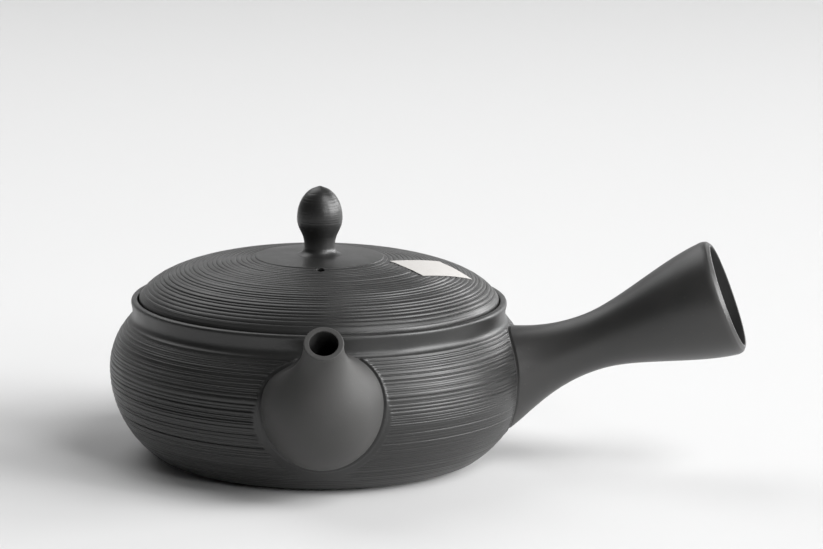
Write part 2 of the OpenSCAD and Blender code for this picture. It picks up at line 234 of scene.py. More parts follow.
bodyHigh = np.array(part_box("body")[1]) / mm
lidHigh = np.array(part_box("lid")[1]) / mm
pot = {
    "bellyR": bodyHigh[0], "bellyH": 27.0,
    "baseR": 46.3, "baseRound": 2.0, "contactIn": 5.0, "slit": 0.6,
    "rimH": bodyHigh[2], "collarH": 6.6, "collarStep": 0.9, "collarHollow": 0.6, "collarPull": (0.13, 0.4),
    "beadShare": 0.2, "beadOut": 0.1, "beadPull": 0.06, "crownShare": 0.55, "crownPull": 0.2,
    "innerShare": 0.4, "innerPull": 0.1, "nib": 0.4,
    "wall": 3.0, "floorT": 3.2, "floorInset": 0.8,
    "rimT": 2.05, "lidGap": 0.3, "ledgeDepth": 2.6, "ledgeW": 5.4, "ledgeT": 3.0,
    "lowSweep": 62.0, "upSweep": 42.0,
    "baseIn": 3.0, "floorIn": 2.0,  # the innermost ring of points, below and inside
    "baseStep": 1.5, "edgeStep": 0.3, "bellyStep": 0.09, "rimStep": 0.2,
    "lipStep": 0.25, "ledgeStep": 0.3, "insideStep": 1.0,
    "columns": 300, "closer": 2.5,  # how much closer the columns stand at the tubes
}
lidR = lidHigh[0]
rimIn = lidR + pot["lidGap"]
rimR = rimIn + pot["rimT"]
throatR = rimIn - pot["ledgeW"]
shoulderR = rimR + pot["collarStep"]
shoulderH = pot["rimH"] - pot["collarH"]
ledgeH = pot["rimH"] - pot["ledgeDepth"]
throatH = ledgeH - pot["ledgeT"]
innerR = pot["bellyR"] - pot["wall"]
crownR = rimR - pot["crownShare"] * pot["rimT"]


def potOutside():  # the base, then the belly, then the collar and rim
    lowOut = (pot["bellyR"] - pot["baseR"]) / (1 - math.cos(math.radians(pot["lowSweep"])))
    lowDown = pot["bellyH"] / math.sin(math.radians(pot["lowSweep"]))
    upOut = (pot["bellyR"] - shoulderR) / (1 - math.cos(math.radians(pot["upSweep"])))
    upHigh = (shoulderH - pot["bellyH"]) / math.sin(math.radians(pot["upSweep"]))
    start = -math.degrees(math.asin((pot["bellyH"] - pot["baseRound"]) / lowDown))
    low = arc((pot["bellyR"] - lowOut, pot["bellyH"]), lowOut, lowDown, start, 0)
    up = arc((pot["bellyR"] - upOut, pot["bellyH"]), upOut, upHigh, 0, pot["upSweep"])
    flatR = pot["baseR"] - pot["contactIn"]  # the base stands on a ring a little inside its edge
    slitR = pot["baseR"] - pot["baseRound"] / 3
    edge = bezier((flatR, 0), (slitR, pot["slit"] / 3), (pot["baseR"], pot["slit"]), low[0], count=40)
    hollow = rimR - pot["collarHollow"]
    beadH = pot["rimH"] - pot["beadShare"] * pot["collarH"]
    first, second = pot["collarPull"]
    collar = bezier(
        (shoulderR, shoulderH), (hollow, shoulderH + first * pot["collarH"]),
        (hollow, shoulderH + second * pot["collarH"]), (rimR, beadH)
    )
    bead = bezier(
        (rimR, beadH), (rimR + pot["beadOut"], pot["rimH"] - pot["beadPull"] * pot["collarH"]),
        (rimR - pot["crownPull"] * pot["rimT"], pot["rimH"]), (crownR, pot["rimH"])
    )
    base = spaced([(pot["baseIn"], 0), (flatR, 0)], pot["baseStep"])
    return (
        joined(base, spaced(edge, pot["edgeStep"])),
        spaced(joined(low, up), pot["bellyStep"]),
        joined(spaced(collar, pot["rimStep"]), spaced(bead, pot["rimStep"])),
    )


def potInside():  # the rim's inner edge, the ledge, the throat and the hollow
    inner = bezier(
        (crownR, pot["rimH"]), (rimIn + pot["crownPull"] * pot["rimT"], pot["rimH"]),
        (rimIn, pot["rimH"] - pot["innerPull"] * pot["rimT"]),
        (rimIn, pot["rimH"] - pot["innerShare"] * pot["rimT"]), count=30
    )
    nib = pot["nib"]
    ledge = joined(
        np.array([inner[-1], (rimIn, ledgeH + nib)]),
        arc((rimIn - nib, ledgeH + nib), nib, nib, 0, -90, count=8),
        np.array([(rimIn - nib, ledgeH), (throatR + nib, ledgeH)]),
        arc((throatR + nib, ledgeH - nib), nib, nib, 90, 180, count=8),
        np.array([(throatR, ledgeH - nib), (throatR, throatH)]),
    )
    floorR = pot["baseR"] - pot["floorInset"]
    inOut = (innerR - floorR) / (1 - math.cos(math.radians(pot["lowSweep"])))
    inDown = (pot["bellyH"] - pot["floorT"]) / math.sin(math.radians(pot["lowSweep"]))
    high = arc((throatR, pot["bellyH"]), innerR - throatR, throatH - pot["bellyH"], 90, 0)
    low = arc((innerR - inOut, pot["bellyH"]), inOut, inDown, 0, -pot["lowSweep"])
    floor = np.array([low[-1], (pot["floorIn"], pot["floorT"])])
    return joined(
        spaced(inner, pot["lipStep"]), spaced(ledge, pot["ledgeStep"]),
        spaced(joined(high, low), pot["insideStep"]), spaced(floor, pot["insideStep"])
    )


outsideParts = potOutside()
outside = joined(*outsideParts)
innerSide = potInside()


def potRadius(height):  # the pot's outer radius at a height
    return np.interp(height, outside[:, 1], outside[:, 0])


# Spout and handle: tubes about an axis that runs from the middle of the mouth in to the pot

spout = {
    "reach": 13.5, "overRim": 2.2, "slope": 51.0,
    "mouthR": 5.7, "boreR": 4.05, "mouthTilt": 5.0, "tiltFade": 9.0, "wall": 2.2,
    "rootR": 17.5, "rootAt": 27.0, "rootEnd": 20.5, "rootSweep": 80.0,
    "neckPull": (0.88, 0.48), "rootPull": (0.95, 0.43), "straight": 1.0,
    "bevelOut": (0.25, 0.25), "bevelIn": (-0.15, 0.2), "corner": (0.2, 0.2), "roll": (0, 1),
    "edgeCurl": 0.3, "columns": 220,
    "dents": (  # two hollows pressed into the neck
        {"turn": 90, "along": 14.4, "deep": 4.3, "wide": 75, "long": 6.0},
        {"turn": 40, "along": 14.5, "deep": 4.3, "wide": 27, "long": 7.2},
    ),
    # the spout's inside is painted darker than its clay: painted shade in the bore
    "inside": {**clay, "dark": "#0b0b0a", "light": "#100f0e", "rough": 0.7},
    "look": {**clay, "dark": "#393938", "light": "#434241", "rough": 0.6, "ior": 1.5},
}
handle = {
    "turn": -9.7, "slope": 21.2, "rise": 3.0, "length": 63.4,
    "rootR": 17.0, "rootIn": 13.0, "waistR": 8.5, "waistAt": 20.0, "endR": 17.55,
    "flarePull": ((0.98, 0.32), (1.0, 0.72)), "swellPull": ((0.96, 0.48), (0.9, 0.76)), "rootPast": 7.0,
    "wall": 2.4, "lipT": 2.3, "mouthTilt": 0.0, "tiltFade": 9.0, "dents": (),
    "bevelOut": (1.1, 0.9), "bevelIn": (-0.15, 0.25), "corner": (0.3, 0.15),
    "roll": (0.5, 2.8),  # how far the lip turns in, and over what length
    "edgeCurl": 0.3, "columns": 220,
    "inside": {**clay, "rough": 0.55},
    "look": {**clay, "dark": "#303030", "light": "#3a3938", "rough": 0.4},
}


def axisFrame(origin, inward):  # a tube's mouth, its axis and two vectors across it
    inward = np.asarray(inward, float)
    across = np.cross((0, 0, 1), inward)
    across /= np.linalg.norm(across)
    return {"at": np.asarray(origin, float), "in": inward, "u": across, "v": np.cross(inward, across)}


def tubePoints(axis, along, radius, turns):  # points of a tube from lengths along its axis and radii
    across = np.cos(turns)[..., None] * axis["u"] + np.sin(turns)[..., None] * axis["v"]
    return axis["at"] + along[..., None] * axis["in"] + radius[..., None] * across


def dented(shape, along, turns):  # depth to which a tube was pressed in by hand
    depth = 0 * along * turns
    for dent in shape["dents"]:
        off = np.degrees((turns - math.radians(dent["turn"]) + math.pi) % (2 * math.pi) - math.pi)
        depth = depth + dent["deep"] * np.exp(
            -(off / dent["wide"]) ** 2 - ((along - dent["along"]) / dent["long"]) ** 2
        )
    return depth


def meeting(axis, outline, turns, shape):  # length along the axis at which an outline enters the pot
    skip = 1.0  # the search starts a little past the mouth
    samples = 1500
    along = np.linspace(outline[0, 1] + skip, outline[-1, 1], samples)[:, None]
    radius = np.interp(along, outline[:, 1], outline[:, 0]) - dented(shape, along, turns)
    points = tubePoints(axis, along + 0 * turns, radius, turns + 0 * along)
    clear = np.hypot(points[..., 0], points[..., 1]) - potRadius(points[..., 2])
    first = np.argmax(clear < 0, axis=0)
    return along[first, 0]


def seamDistance(axis, outline, points, shape):  # how far the pot's face lies from a tube's seam
    apart = points - axis["at"]
    along = apart @ axis["in"]
    across = np.stack([apart @ axis["u"], apart @ axis["v"]])
    turns = np.arctan2(across[1], across[0])
    over = np.hypot(*across) - np.interp(along, outline[:, 1], outline[:, 0]) + dented(shape, along, turns)
    down = np.gradient(over, axis=0) / np.linalg.norm(np.gradient(points, axis=0), axis=-1)
    side = (np.roll(over, -1, 1) - np.roll(over, 1, 1)) / np.linalg.norm(
        np.roll(points, -1, 1) - np.roll(points, 1, 1), axis=-1)
    leastSlope = 0.2  # keeps the distance steady where both faces run alongside
    farAway = 99.0  # past the tube's root there is no seam
    slope = np.clip(np.hypot(down, side), leastSlope, None)
    return np.where(along > outline[-1, 1], farAway, over / slope)


tubeEnd = {
    "bite": 0.35,  # depth by which both faces run into the pot's wall
    "even": 2.0,  # length before the wall at which the even rows stop
    "rows": 30, "crowd": 1.6,  # the rows from there on stand closer towards the wall
    "curlLong": 0.9, "curlPast": 0.1,  # the outer face curls in at the seam
    "lipRows": 10,  # rows of faces at the mouth that are wiped like the outside
}


def tubePiece(name, axis, outer, inner, shape):  # a hollow tube that ends on the pot
    turns = np.linspace(0, 2 * math.pi, shape["columns"], endpoint=False)
    layers = []
    for outline, curl in ((outer, shape["edgeCurl"]), (inner, 0)):
        end = meeting(axis, outline, turns, shape)
        last = end.min() - tubeEnd["even"]
        fixed = outline[outline[:, 1] < last]
        share = 1 - (1 - np.linspace(0, 1, tubeEnd["rows"])[1:]) ** tubeEnd["crowd"]
        along = np.vstack([
            fixed[:, 1, None] + 0 * turns,
            fixed[-1, 1] + share[:, None] * (end + tubeEnd["bite"] - fixed[-1, 1])
        ])
        radius = np.interp(along, outline[:, 1], outline[:, 0])
        radius[:len(fixed)] = fixed[:, 0, None]
        left = end + tubeEnd["curlPast"] - along
        radius -= curl * (1 - smooth(0, tubeEnd["curlLong"], left)) * (along > last)
        radius -= dented(shape, along, turns)
        tilt = math.tan(math.radians(shape["mouthTilt"])) * (1 - smooth(0, shape["tiltFade"], along))
        along = along - tilt * radius * np.sin(turns)
        layers.append(tubePoints(axis, along, radius, turns + 0 * along))
    piece = gridPiece(name, np.vstack([layers[0], layers[1][::-1]]), closed=True)
    for face in piece.data.polygons[len(layers[0]) * len(turns):-tubeEnd["lipRows"] * len(turns)]:
        face.material_index = 1
    return piece


def spoutOutline(mouthR, rootR, end):  # half outline from the mouth to the closed root
    far = spout["rootAt"]
    first, second = spout["neckPull"], spout["rootPull"]
    neck = bezier(
        (mouthR, 0), (first[0] * mouthR, first[1] * far),
        (second[0] * rootR, second[1] * far), (rootR, far), count=80
    )
    bulb = arc((0, far + spout["straight"]), rootR, end, 0, spout["rootSweep"])
    return joined(neck, bulb)


def handleOutline(rootR, waistR, endR):  # half outline from the open end to inside the pot
    far = handle["length"]
    waist = far - handle["waistAt"]
    root = far + handle["rootIn"]
    first, second = handle["flarePull"]
    flare = bezier(
        (endR, 0), (first[0] * endR, first[1] * waist),
        (second[0] * waistR, second[1] * waist), (waistR, waist), count=80
    )
    first, second = handle["swellPull"]
    swell = bezier(
        (waistR, waist), (first[0] * waistR, waist + first[1] * (root - waist)),
        (second[0] * rootR, waist + second[1] * (root - waist)), (rootR, root), count=80
    )
    return joined(flare, swell, np.array([(rootR, root), (rootR, root + handle["rootPast"])]))


def lipped(outline, bevel, corner, step=0.5, edgeStep=0.25):  # an outline with a soft bevel at its mouth
    across, deep = bevel
    start = np.interp(deep, outline[:, 1], outline[:, 0])
    side = np.sign(across) * corner
    ring, low, high = np.array([(start - across - side, 0), (start - across, 0), (start, deep)])
    after = np.array([np.interp(deep + corner, outline[:, 1], outline[:, 0]), deep + corner])
    share = corner / np.hypot(across, deep)
    first, last = low + (high - low) * share, high + (low - high) * share
    edge = joined(
        bezier(ring, low, low, first, count=6), spaced([first, last], edgeStep),
        bezier(last, high, high, after, count=6),
    )
    rest = outline[outline[:, 1] > deep + corner]
    return joined(edge, spaced(np.vstack([edge[-1:], rest]), step))


spoutTip = (0, -pot["bellyR"] - spout["reach"], pot["rimH"] + spout["overRim"])
slope = math.radians(spout["slope"])
spoutAxis = axisFrame(spoutTip, (0, math.cos(slope), -math.sin(slope)))
lean = math.radians(handle["slope"])
turn = math.radians(handle["turn"])
handleOut = np.array([math.cos(lean) * math.cos(turn), math.cos(lean) * math.sin(turn), math.sin(lean)])
handleFoot = np.array([0, 0, pot["bellyH"] + handle["rise"] - pot["bellyR"] * math.tan(lean)])
handleEnd = handleFoot + (pot["bellyR"] / math.cos(lean) + handle["length"]) * handleOut
handleAxis = axisFrame(handleEnd, -handleOut)
spoutOuter = spoutOutline(spout["mouthR"], spout["rootR"], spout["rootEnd"])
spoutInner = spoutOutline(spout["boreR"], spout["rootR"] - spout["wall"], spout["rootEnd"] - spout["wall"])
handleOuter = handleOutline(handle["rootR"], handle["waistR"], handle["endR"])
handleInner = handleOutline(
    handle["rootR"] - handle["wall"], handle["waistR"] - handle["wall"], handle["endR"] - handle["lipT"]
)


# Pot: one turned shell, combed outside, with wiped bands round the spout and the handle
# In each set of grooves spread, least, hollow and fade are shares, the rest is in millimetres

potComb = {
    "first": 0.9, "last": 36.0, "pitch": 1.65, "spread": 0.3, "depth": 0.5, "least": 0.6,
    "cut": 0.16, "hollow": 0.36, "width": 0.4, "wander": 0.1, "fade": 0.2,
}
potLines = {
    "first": 0.5, "last": 47.0, "pitch": 1.0, "spread": 0.4, "depth": 0.16, "least": 0.35,
    "cut": 0.2, "hollow": 0.25, "width": 0.25, "wander": 0.06, "fade": 0.4,
}
potFinish = {
    "closerAt": ((-90.0, 26.0), (handle["turn"], 24.0)),  # turn and half width of each denser stretch
    "wipedFrom": 0.6, "wipedTo": 1.4, "wipedMore": 2.0, "moreFrom": 9.0, "moreTo": 20.0,
    "fadeFrom": 28.0, "fadeTo": 37.0, "lineFadeFrom": 39.0, "lineFadeTo": 47.0, "lineGain": 1.9,
    "calmTurn": -28.0, "calmHalf": 50.0, "calmEdge": (0.75, 1.1),  # the combing is calmer at the right
    "calmFrom": 11.0, "calmTo": 19.0, "calmShare": 0.85, "calmTop": 0.4,
    "seamDeep": 0.3, "seamWide": 0.32, "ridgeHigh": 0.14, "ridgeAt": 0.85, "ridgeWide": 0.4,
    "pourHoleR": 9.9, "pourHoleH": 27.0, "pourHoleIn": 8.0, "pourHoleOut": 3.0,
    "plainRows": 30, "throwFrom": 12.0, "throwPitch": 4.5, "throwDeep": 0.12,
    "look": clay,
}


def closerTurns(count, closer, windows):  # angles round the pot, closer set where a tube meets it
    samples = 20001
    soft = 0.8  # share of a stretch that is evenly dense
    fine = np.linspace(-math.pi, math.pi, samples)
    weight = np.ones_like(fine)
    for middle, half in windows:
        off = np.abs((fine - math.radians(middle) + math.pi) % (2 * math.pi) - math.pi)
        weight += closer * (1 - smooth(math.radians(half) * soft, math.radians(half), off))
    far = np.concatenate([[0], np.cumsum((weight[1:] + weight[:-1]) / 2)])
    total = round(count * weight.mean())
    return np.interp(np.linspace(0, far[-1], total, endpoint=False), far, fine)


def makePot():  # the shell with its grooves, seams and pour hole
    turns = closerTurns(pot["columns"], pot["closer"], potFinish["closerAt"])
    profile = joined(outside, innerSide)
    depth = np.zeros((len(profile), len(turns)))
    bellyStart = len(outsideParts[0]) - 1
    belly = slice(bellyStart, bellyStart + len(outsideParts[1]))
    far = lengths(profile)
    down = far[belly.stop - 1] - far[belly]
    face = turned(profile[belly], turns)
    spoutSeam = seamDistance(spoutAxis, spoutOuter, face, spout)
    handleSeam = seamDistance(handleAxis, handleOuter, face, handle)
    near = np.minimum(spoutSeam, handleSeam)
    more = potFinish["wipedMore"] * smooth(potFinish["moreFrom"], potFinish["moreTo"], down)[:, None]
    clear = np.minimum(spoutSeam - more, handleSeam)  # the wiped band is wider under the spout
    wiped = smooth(potFinish["wipedFrom"], potFinish["wipedTo"], clear)
    off = np.abs(np.degrees(turns) - potFinish["calmTurn"]) / potFinish["calmHalf"]
    lower = smooth(potFinish["calmFrom"], potFinish["calmTo"], down)[:, None]
    calm = potFinish["calmTop"] + (potFinish["calmShare"] - potFinish["calmTop"]) * lower
    calm = calm * (1 - smooth(*potFinish["calmEdge"], off))
    faded = 1 - smooth(potFinish["fadeFrom"], potFinish["fadeTo"], down)[:, None]
    lineFaded = 1 - smooth(potFinish["lineFadeFrom"], potFinish["lineFadeTo"], down)[:, None]
    grooves = combed(down[:, None], turns, potComb) * faded * (1 - calm)
    gain = 1 + lower * (potFinish["lineGain"] - 1)
    grooves = grooves + combed(down[:, None], turns, potLines) * lineFaded * gain
    seam = potFinish["seamDeep"] * np.exp(-(near / potFinish["seamWide"]) ** 2)
    ridgeOff = (near - potFinish["ridgeAt"]) / potFinish["ridgeWide"]
    ridge = potFinish["ridgeHigh"] * np.exp(-ridgeOff ** 2)
    depth[belly] = grooves * wiped + seam - ridge
    inside = slice(len(outside) + potFinish["plainRows"], len(profile))
    rings = np.sin(2 * math.pi * far[inside, None] / potFinish["throwPitch"] + turns)
    begun = smooth(0, potFinish["throwFrom"], far[inside] - far[inside.start])[:, None]
    depth[inside] = potFinish["throwDeep"] * rings * begun
    grid = turned(profile, turns, depth)
    piece = gridPiece("potShell", grid, (0, 0, 0), (0, 0, pot["floorT"]))
    holeH = potFinish["pourHoleH"]
    holeIn = (0, -innerR + potFinish["pourHoleIn"], holeH)
    holeOut = (0, -pot["bellyR"] - potFinish["pourHoleOut"], holeH)
    bored(piece, potFinish["pourHoleR"], holeIn, holeOut)
    piece.data.materials.append(stoneware("black stoneware, combed", potFinish["look"]))
    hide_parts("body")
    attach(piece, "pot")


makePot()
print("pot made")


def makeTube(name, node, axis, outer, inner, shape):  # a tube with its lips and clays
    inset, long = shape["roll"]
    far = np.maximum((long - outer[:, 1]) / (long - shape["bevelOut"][1]), 0)
    rolled = outer - np.column_stack([inset * far ** 2, 0 * far])
    outer = lipped(rolled, shape["bevelOut"], shape["corner"][0])
    inner = lipped(inner, shape["bevelIn"], shape["corner"][1])
    piece = tubePiece(name, axis, outer, inner, shape)
    piece.data.materials.append(stoneware("black stoneware, wiped, " + node, shape["look"]))
    # in the spout this inside colour is painted shade, darker than the clay itself; in the handle it is
    # the plain clay
    piece.data.materials.append(stoneware("black stoneware, inside of " + node, shape["inside"]))
    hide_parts(node)
    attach(piece, "pot")


makeTube("spoutTube", "spout", spoutAxis, spoutOuter, spoutInner, spout)
makeTube("handleTube", "handle", handleAxis, handleOuter, handleInner, handle)
print("spout and handle made")


# Lid: a domed shell with combed top, plain disc, flange and steam hole

lid = {
    "edgeH": 2.7, "rise": 12.7, "fullness": 2.4, "overrun": 0.85, "t": 3.2,
    "edgeIn": 0.5, "edgePull": (0.1, 0.35), "edgeDrop": 0.6, "seatBevel": 0.5, "seatGap": 0.03,
    "flangeH": 6.5, "flangeT": 2.6, "flangeGap": 0.4,
    "discR": 19.3, "discRise": 0.3, "discEdge": 0.35,
    "ventR": 1.25, "ventAt": 20.3, "ventLean": 42.0, "ventIn": 7.0, "ventOut": 4.0, "ventSides": 40,
    "burr": 0.06, "burrOut": 0.2, "burrWide": 0.25,
    "plainEdge": 0.9, "linesPast": 1.0, "combFrom": 0.2, "combTo": 0.9,
    "poleR": 1.5, "step": 0.09, "flangeStep": 0.5, "underStep": 0.8, "columns": 480,
    "look": clay,
}
lidComb = {
    "first": 1.2, "pitch": 1.42, "spread": 0.2, "depth": 0.5, "least": 0.55,
    "cut": 0.17, "hollow": 0.45, "width": 0.35, "wander": 0.06, "fade": 0.3,
}
lidLines = {
    "first": 0.4, "pitch": 0.5, "spread": 0.5, "depth": 0.04, "least": 0.2,
    "cut": 0.11, "hollow": 0.3, "width": 0.2, "wander": 0.05, "fade": 0.8,
}
lidEdgeH = ledgeH + lid["edgeH"]
domeR = lidR + lid["overrun"]
domeEnd = (1 - (lidR / domeR) ** lid["fullness"]) ** (1 / lid["fullness"])


def domeH(r):  # height of the dome at a radius
    swell = (1 - np.minimum(r / domeR, 1) ** lid["fullness"]) ** (1 / lid["fullness"])
    return lidEdgeH + lid["rise"] * (swell - domeEnd) / (1 - domeEnd)


def lidTop(r):  # height of the lid's top, with the disc
    return domeH(r) + lid["discRise"] * (1 - smooth(lid["discR"] - lid["discEdge"], lid["discR"], r))


def makeLid():
    turns = np.linspace(-math.pi, math.pi, lid["columns"], endpoint=False)
    radii = np.linspace(lid["poleR"], lidR - lid["edgeIn"], num=3000)
    top = spaced(np.column_stack([radii, lidTop(radii)]), lid["step"])
    pullIn, pullDown = lid["edgePull"]
    edgeLow = lidEdgeH - lid["edgeDrop"]
    seatH = ledgeH + lid["seatGap"]
    seatR = lidR - lid["seatBevel"]
    shoulder = (lidR - pullIn, top[-1, 1] - pullDown)
    edge = joined(
        bezier(top[-1], shoulder, (lidR, lidEdgeH), (lidR, edgeLow), count=8),
        np.array([(lidR, edgeLow), (lidR, ledgeH + lid["seatBevel"]), (seatR, seatH)]),
    )
    flangeR = throatR - lid["flangeGap"]
    flangeIn = flangeR - lid["flangeT"]
    low = ledgeH - lid["flangeH"]
    foot = lid["flangeT"] / 2
    flange = joined(
        np.array([(seatR, seatH), (flangeR, seatH), (flangeR, low + foot)]),
        arc((flangeR - foot, low + foot), foot, foot, 0, -180, count=12),
    )
    radii = np.linspace(flangeIn, lid["poleR"], num=300)
    under = np.column_stack([radii, domeH(radii) - lid["t"]])
    profile = joined(
        top, edge, spaced(flange, lid["flangeStep"]), spaced(joined(flange[-1:], under), lid["underStep"])
    )
    depth = np.zeros((len(profile), len(turns)))
    far = lengths(profile)
    face = slice(0, len(top))
    start = np.interp(lid["discR"], top[:, 0], far[face])
    out = far[face] - start
    last = out[-1] - lid["plainEdge"]
    grooves = combed(out[:, None], turns, {**lidComb, "last": last})
    grooves = grooves + combed(out[:, None], turns, {**lidLines, "last": last + lid["linesPast"]})
    depth[face] = grooves * smooth(lid["combFrom"], lid["combTo"], out)[:, None]
    ventGap = np.hypot(top[:, 0, None] * np.cos(turns), top[:, 0, None] * np.sin(turns) + lid["ventAt"])
    burrOff = (ventGap - lid["ventR"] - lid["burrOut"]) / lid["burrWide"]
    depth[face] -= lid["burr"] * np.exp(-burrOff ** 2)
    grid = turned(profile, turns, -depth)[::-1]  # this profile runs from the middle outwards
    piece = gridPiece("lidDome", grid, (0, 0, domeH(0) - lid["t"]), (0, 0, lidTop(0)))
    vent = np.array([0, -lid["ventAt"], lidTop(lid["ventAt"])])
    lean = math.radians(lid["ventLean"])
    way = np.array([0, -math.sin(lean), math.cos(lean)])
    ventLow = vent - lid["ventIn"] * way
    ventHigh = vent + lid["ventOut"] * way
    bored(piece, lid["ventR"], ventLow, ventHigh, lid["ventSides"])
    piece.data.materials.append(stoneware("black stoneware, combed lid", lid["look"]))
    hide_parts("lid")
    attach(piece, "lid")


makeLid()
print("lid made")


# Knob: a turned bud whose foot flows out into the disc

knob = {
    "footR": 7.4, "neckR": 4.55, "neckAt": 2.4, "budR": 6.8, "wideAt": 11.0, "pull": (0.52, 0.57),
    "capSweep": 88.0, "nubR": 0.9, "nubH": 0.25, "footEdge": 0.6, "sink": 0.4, "poleR": 2.0,
    "plainTo": 4.0, "linedFrom": 7.0, "step": 0.1, "columns": 160,
    "look": {**clay, "dark": "#1d1d1d", "light": "#252524"},
}
knobLines = {
    "first": 1.5, "last": 21.0, "pitch": 0.85, "spread": 0.5, "depth": 0.07, "least": 0.2,
    "cut": 0.14, "hollow": 0.4, "width": 0.25, "wander": 0.05, "fade": 0.6,
}


def makeKnob():
    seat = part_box("knob")[0].z / mm
    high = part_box("knob")[1].z / mm - seat
    turns = np.linspace(-math.pi, math.pi, knob["columns"], endpoint=False)
    foot = arc(
        (knob["footR"], knob["neckAt"]), knob["footR"] - knob["neckR"], knob["neckAt"], 270, 180
    )
    swell = knob["wideAt"] - knob["neckAt"]
    bud = bezier(
        (knob["neckR"], knob["neckAt"]), (knob["neckR"], knob["neckAt"] + knob["pull"][0] * swell),
        (knob["budR"], knob["neckAt"] + knob["pull"][1] * swell), (knob["budR"], knob["wideAt"])
    )
    cap = arc((0, knob["wideAt"]), knob["budR"], high - knob["wideAt"] - knob["nubH"], 0, knob["capSweep"])
    nub = knob["nubH"] * np.exp(-(cap[:, 0] / knob["nubR"]) ** 2)
    cap = cap + np.column_stack([0 * nub, nub])
    start = knob["footR"] + knob["footEdge"]
    under = np.array([(knob["poleR"], -knob["sink"]), (start, -knob["sink"]), foot[0]])
    profile = joined(under, foot, bud, cap)
    profile = spaced(profile + np.array([0, seat]), knob["step"])
    far = lengths(profile)
    lines = combed(far[:, None] - start, turns, knobLines)
    depth = lines * smooth(knob["plainTo"], knob["linedFrom"], far - start)[:, None]
    top = (0, 0, seat + high)
    bottom = (0, 0, seat - knob["sink"])
    piece = gridPiece("knobBud", turned(profile, turns, depth), bottom, top)
    piece.data.materials.append(stoneware("black stoneware, turned", knob["look"]))
    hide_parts("knob")
    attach(piece, "lid")


makeKnob()
print("knob made")


# Label: a bare piece of handmade paper pasted over the combing

label = {
    "long": 19.0, "wide": 15.5, "t": 0.1, "lift": -0.07, "gap": 2.1,
    "turn": -15.0, "twist": 37.0, "curl": 0.05, "curlIn": 2.5, "cornerFall": 3, "rows": 90,
    "ragged": 0.07, "ragWaves": 19, "ragDrift": 2, "ragSlow": 7,
    "paper": "#c3c1bf", "warm": "#bfbcb8", "fibre": "#8f8b86",
    "fibreLong": 2.5, "fibreWide": 0.25,  # wider than real fibres, to show
    "fibreTurn": -20.0, "fibreBend": 1.5, "fibreDetail": 3,
    "fibreFrom": 0.6, "fibreTo": 0.75, "fibreShare": 0.55, "fibreDepth": 0.06, "bump": 0.5,
    "cloud": 7.0, "cloudDetail": 2, "rough": 0.9, "ior": 1.5,
}


def washi(look):  # soft matt handmade paper with long fibres and a faint warm cloud
    material, tree, shader = newMaterial("handmade paper, bare")
    place = addNode(tree, "TexCoord").outputs["Object"]
    drawn = addNode(tree, "Mapping", {
        "Vector": place, "Rotation": (0, 0, math.radians(look["fibreTurn"])),
        "Scale": (1 / (look["fibreLong"] * mm), 1 / (look["fibreWide"] * mm), 0)
    })
    strand = addNode(tree, "TexNoise", {
        "Vector": drawn.outputs[0], "Scale": 1,
        "Detail": look["fibreDetail"], "Distortion": look["fibreBend"]
    })
    cloud = addNode(tree, "TexNoise", {
        "Vector": place, "Scale": 1 / (look["cloud"] * mm), "Detail": look["cloudDetail"]
    })
    tone = addNode(tree, "Mix", {
        0: cloud.outputs["Fac"], 6: hexColour(look["paper"]), 7: hexColour(look["warm"])
    }, data_type="RGBA")
    fibre = addNode(tree, "MapRange", {
        "Value": strand.outputs["Fac"], "From Min": look["fibreFrom"], "From Max": look["fibreTo"],
        "To Min": 0, "To Max": look["fibreShare"]
    })
    flecked = addNode(tree, "Mix", {
        0: fibre.outputs[0], 6: tone.outputs[2], 7: hexColour(look["fibre"])
    }, data_type="RGBA")
    tree.links.new(flecked.outputs[2], shader.inputs["Base Color"])
    bump = addNode(tree, "Bump", {
        "Height": strand.outputs["Fac"], "Strength": look["bump"], "Distance": look["fibreDepth"] * mm
    })
    tree.links.new(bump.outputs[0], shader.inputs["Normal"])
    shader.inputs["Roughness"].default_value = look["rough"]
    shader.inputs["IOR"].default_value = look["ior"]
    return material


def makeLabel():
    turn = math.radians(label["turn"])
    twist = math.radians(label["twist"])
    corner = (lid["discR"] + label["gap"]) * np.array([math.cos(turn), math.sin(turn)])
    longWay = np.array([math.cos(twist), math.sin(twist)])
    wideWay = np.array([math.sin(twist), -math.cos(twist)])
    u, v = np.meshgrid(np.linspace(0, 1, label["rows"]), np.linspace(0, 1, label["rows"]))
    drift = label["ragDrift"] * np.sin(label["ragSlow"] * v)
    rag = label["ragged"] * np.sin(label["ragWaves"] * v + drift)
    flat = corner + (u * label["long"] + rag * (u - 0.5) * 2)[..., None] * longWay
    flat = flat + (v * label["wide"])[..., None] * wideWay
    r = np.hypot(flat[..., 0], flat[..., 1])
    rim = np.minimum(np.minimum(u, 1 - u) * label["long"], np.minimum(v, 1 - v) * label["wide"])
    corners = (np.abs(u - 0.5) * np.abs(v - 0.5) * 4) ** label["cornerFall"]  # 1 at the corners
    lift = label["lift"] + label["curl"] * corners * (1 - smooth(0, label["curlIn"], rim))
    under = np.dstack([flat, domeH(r) + lift])
    over = under + np.array([0, 0, label["t"]])
    count = label["rows"]
    index = np.arange(count * count).reshape(count, count)
    quads = np.stack([index[:-1, :-1], index[:-1, 1:], index[1:, 1:], index[1:, :-1]], -1).reshape(-1, 4)
    loop = np.concatenate([index[0, :-1], index[:-1, -1], index[-1, :0:-1], index[:0:-1, 0]])
    after = np.roll(loop, -1)
    shift = count * count
    sides = np.stack([loop, after, after + shift, loop + shift], -1)
    faces = np.vstack([quads, quads[:, ::-1] + shift, sides[:, ::-1]])
    points = np.vstack([under.reshape(-1, 3), over.reshape(-1, 3)]) * mm
    piece = meshPiece("labelPaper", points.tolist(), faces.tolist())
    piece.data.materials.append(washi(label))
    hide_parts("label")
    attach(piece, "lid")


makeLabel()
print("label made")


# Strainer: the solid itself, in clay as it was thrown

